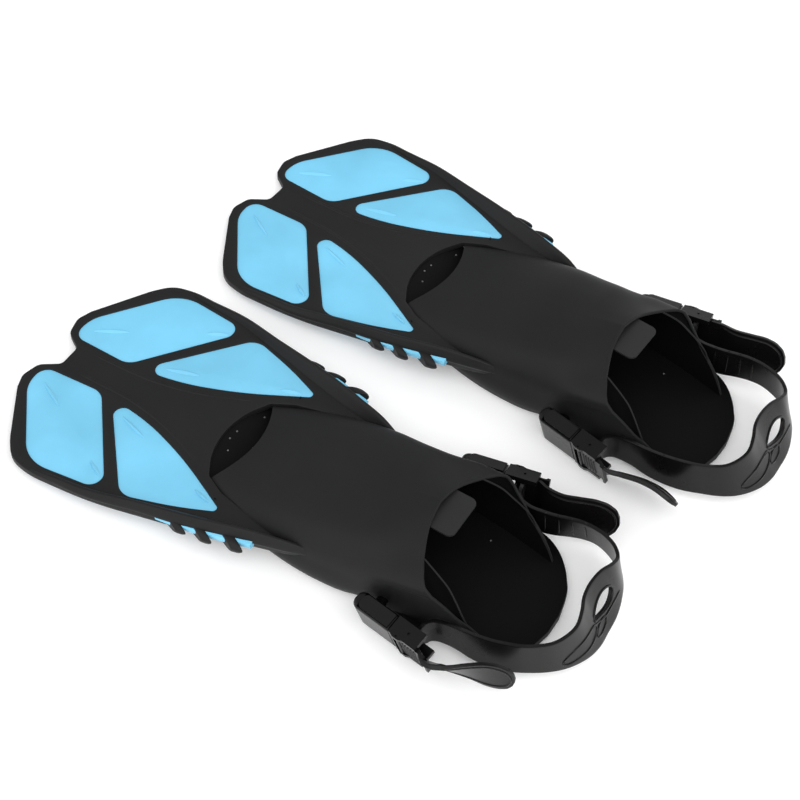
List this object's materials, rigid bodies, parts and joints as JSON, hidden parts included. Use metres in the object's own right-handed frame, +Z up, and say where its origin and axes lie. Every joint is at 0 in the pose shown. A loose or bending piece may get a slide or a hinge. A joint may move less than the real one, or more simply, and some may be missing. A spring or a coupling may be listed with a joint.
{
  "type": "adjustable open-heel swim fins",
  "caption": "Pair of short open-heel snorkel fins: panelled split-tip blades, full foot pockets and adjustable heel straps on quick-release side buckles.",
  "frame": {"origin": "middle of the pair's bounding box, on the floor the fins lie on", "axes": "+X from the blade tips towards the heels, +Y from the left fin to the right fin, +Z up; the wearer faces -X"},
  "size_m": [0.4794, 0.4172, 0.0734],
  "materials": {
    "pocket_rubber": "soft matte moulded rubber with a faint grain",
    "frame_rubber": "matte over-moulded rubber",
    "blue_blade": "satin light blue polypropylene",
    "strap_rubber": "smooth satin silicone rubber",
    "tab_rubber": "dark grey moulded rubber",
    "buckle_plastic": "fine satin acetal",
    "tab_plastic": "fine satin acetal with grip lines",
    "roller_plastic": "polished acetal",
    "steel_pin": "darkened stainless pin"
  },
  "bodies": {
    "left_fin": {"left_foot_pocket": "pocket_rubber", "left_blade_plate": "blue_blade", "left_blade_frame": "frame_rubber", "left_instep_tab": "tab_rubber", "left_outer_pivot_post": "buckle_plastic", "left_inner_pivot_post": "buckle_plastic"},
    "left_buckle_fronts": {"left_outer_buckle_receiver": "buckle_plastic", "left_inner_buckle_receiver": "buckle_plastic"},
    "left_strap_set": {"left_heel_strap": "strap_rubber", "left_outer_buckle_cage": "buckle_plastic", "left_outer_roller_pin": "steel_pin", "left_outer_lever_pin": "steel_pin", "left_inner_buckle_cage": "buckle_plastic", "left_inner_roller_pin": "steel_pin", "left_inner_lever_pin": "steel_pin"},
    "left_outer_lever": {"left_outer_buckle_lever": "buckle_plastic"},
    "left_outer_roller": {"left_outer_strap_roller": "roller_plastic"},
    "left_outer_tab_upper": {"left_outer_release_tab_upper": "tab_plastic"},
    "left_outer_tab_lower": {"left_outer_release_tab_lower": "tab_plastic"},
    "left_inner_lever": {"left_inner_buckle_lever": "buckle_plastic"},
    "left_inner_roller": {"left_inner_strap_roller": "roller_plastic"},
    "left_inner_tab_upper": {"left_inner_release_tab_upper": "tab_plastic"},
    "left_inner_tab_lower": {"left_inner_release_tab_lower": "tab_plastic"},
    "right_fin": {"right_foot_pocket": "pocket_rubber", "right_blade_plate": "blue_blade", "right_blade_frame": "frame_rubber", "right_instep_tab": "tab_rubber", "right_outer_pivot_post": "buckle_plastic", "right_inner_pivot_post": "buckle_plastic"},
    "right_buckle_fronts": {"right_outer_buckle_receiver": "buckle_plastic", "right_inner_buckle_receiver": "buckle_plastic"},
    "right_strap_set": {"right_heel_strap": "strap_rubber", "right_outer_buckle_cage": "buckle_plastic", "right_outer_roller_pin": "steel_pin", "right_outer_lever_pin": "steel_pin", "right_inner_buckle_cage": "buckle_plastic", "right_inner_roller_pin": "steel_pin", "right_inner_lever_pin": "steel_pin"},
    "right_outer_lever": {"right_outer_buckle_lever": "buckle_plastic"},
    "right_outer_roller": {"right_outer_strap_roller": "roller_plastic"},
    "right_outer_tab_upper": {"right_outer_release_tab_upper": "tab_plastic"},
    "right_outer_tab_lower": {"right_outer_release_tab_lower": "tab_plastic"},
    "right_inner_lever": {"right_inner_buckle_lever": "buckle_plastic"},
    "right_inner_roller": {"right_inner_strap_roller": "roller_plastic"},
    "right_inner_tab_upper": {"right_inner_release_tab_upper": "tab_plastic"},
    "right_inner_tab_lower": {"right_inner_release_tab_lower": "tab_plastic"}
  },
  "joints": [
    {"name": "left_strap_swing", "type": "hinge", "parent": "left_fin", "child": "left_buckle_fronts", "pos_m": [0.0767, -0.10969, 0.01507], "axis": [0, -1, 0], "range_deg": [0, 70]},
    {"name": "left_buckle_unclip", "type": "slide", "parent": "left_buckle_fronts", "child": "left_strap_set", "axis": [0.9965, 0, 0.0837], "range_m": [0, 0.014]},
    {"name": "left_outer_lever_lift", "type": "hinge", "parent": "left_strap_set", "child": "left_outer_lever", "pos_m": [0.10451, -0.18721, 0.01632], "axis": [0.1281, 0.2715, -0.9539], "range_deg": [0, 35], "stiffness_Nm_per_rad": 0.02, "springref_deg": -8.59},
    {"name": "left_outer_roller_turn", "type": "hinge", "parent": "left_strap_set", "child": "left_outer_roller", "pos_m": [0.11127, -0.18248, 0.01857], "axis": [-0.1281, -0.2715, 0.9539], "continuous": true},
    {"name": "left_outer_tab_upper_press", "type": "slide", "parent": "left_buckle_fronts", "child": "left_outer_tab_upper", "axis": [0.1281, 0.2715, -0.9539], "range_m": [0, 0.0015], "stiffness_N_per_m": 900, "springref_m": -0.001},
    {"name": "left_outer_tab_lower_press", "type": "slide", "parent": "left_buckle_fronts", "child": "left_outer_tab_lower", "axis": [-0.1281, -0.2715, 0.9539], "range_m": [0, 0.0015], "stiffness_N_per_m": 900, "springref_m": -0.001},
    {"name": "left_inner_lever_lift", "type": "hinge", "parent": "left_strap_set", "child": "left_inner_lever", "pos_m": [0.10451, -0.03216, 0.01632], "axis": [-0.1281, 0.2715, 0.9539], "range_deg": [0, 35], "stiffness_Nm_per_rad": 0.02, "springref_deg": -8.59},
    {"name": "left_inner_roller_turn", "type": "hinge", "parent": "left_strap_set", "child": "left_inner_roller", "pos_m": [0.11127, -0.0369, 0.01857], "axis": [-0.1281, 0.2715, 0.9539], "continuous": true},
    {"name": "left_inner_tab_upper_press", "type": "slide", "parent": "left_buckle_fronts", "child": "left_inner_tab_upper", "axis": [0.1281, -0.2715, -0.9539], "range_m": [0, 0.0015], "stiffness_N_per_m": 900, "springref_m": -0.001},
    {"name": "left_inner_tab_lower_press", "type": "slide", "parent": "left_buckle_fronts", "child": "left_inner_tab_lower", "axis": [-0.1281, 0.2715, 0.9539], "range_m": [0, 0.0015], "stiffness_N_per_m": 900, "springref_m": -0.001},
    {"name": "right_strap_swing", "type": "hinge", "parent": "right_fin", "child": "right_buckle_fronts", "pos_m": [0.10706, 0.09367, 0.01507], "axis": [-0.0628, -0.998, 0], "range_deg": [0, 70]},
    {"name": "right_buckle_unclip", "type": "slide", "parent": "right_buckle_fronts", "child": "right_strap_set", "axis": [0.9945, -0.0626, 0.0837], "range_m": [0, 0.014]},
    {"name": "right_outer_lever_lift", "type": "hinge", "parent": "right_strap_set", "child": "right_outer_lever", "pos_m": [0.13968, 0.1693, 0.01632], "axis": [-0.1108, 0.279, 0.9539], "range_deg": [0, 35], "stiffness_Nm_per_rad": 0.02, "springref_deg": -8.59},
    {"name": "right_outer_roller_turn", "type": "hinge", "parent": "right_strap_set", "child": "right_outer_roller", "pos_m": [0.14613, 0.16415, 0.01857], "axis": [-0.1108, 0.279, 0.9539], "continuous": true},
    {"name": "right_outer_tab_upper_press", "type": "slide", "parent": "right_buckle_fronts", "child": "right_outer_tab_upper", "axis": [0.1108, -0.279, -0.9539], "range_m": [0, 0.0015], "stiffness_N_per_m": 900, "springref_m": -0.001},
    {"name": "right_outer_tab_lower_press", "type": "slide", "parent": "right_buckle_fronts", "child": "right_outer_tab_lower", "axis": [-0.1108, 0.279, 0.9539], "range_m": [0, 0.0015], "stiffness_N_per_m": 900, "springref_m": -0.001},
    {"name": "right_inner_lever_lift", "type": "hinge", "parent": "right_strap_set", "child": "right_inner_lever", "pos_m": [0.12994, 0.01456, 0.01632], "axis": [0.1449, 0.2629, -0.9539], "range_deg": [0, 35], "stiffness_Nm_per_rad": 0.02, "springref_deg": -8.59},
    {"name": "right_inner_roller_turn", "type": "hinge", "parent": "right_strap_set", "child": "right_inner_roller", "pos_m": [0.13699, 0.01885, 0.01857], "axis": [-0.1449, -0.2629, 0.9539], "continuous": true},
    {"name": "right_inner_tab_upper_press", "type": "slide", "parent": "right_buckle_fronts", "child": "right_inner_tab_upper", "axis": [0.1449, 0.2629, -0.9539], "range_m": [0, 0.0015], "stiffness_N_per_m": 900, "springref_m": -0.001},
    {"name": "right_inner_tab_lower_press", "type": "slide", "parent": "right_buckle_fronts", "child": "right_inner_tab_lower", "axis": [-0.1449, -0.2629, 0.9539], "range_m": [0, 0.0015], "stiffness_N_per_m": 900, "springref_m": -0.001},
    {"name": "fins_apart", "type": "slide", "parent": "left_fin", "child": "right_fin", "axis": [0, 0, 1], "range_m": [0, 0.25]}
  ],
  "couplings": [
    {"joint": "left_outer_tab_lower_press", "follows": "left_outer_tab_upper_press", "ratio": 1},
    {"joint": "left_inner_tab_lower_press", "follows": "left_inner_tab_upper_press", "ratio": 1},
    {"joint": "right_outer_tab_lower_press", "follows": "right_outer_tab_upper_press", "ratio": 1},
    {"joint": "right_inner_tab_lower_press", "follows": "right_inner_tab_upper_press", "ratio": 1}
  ]
}
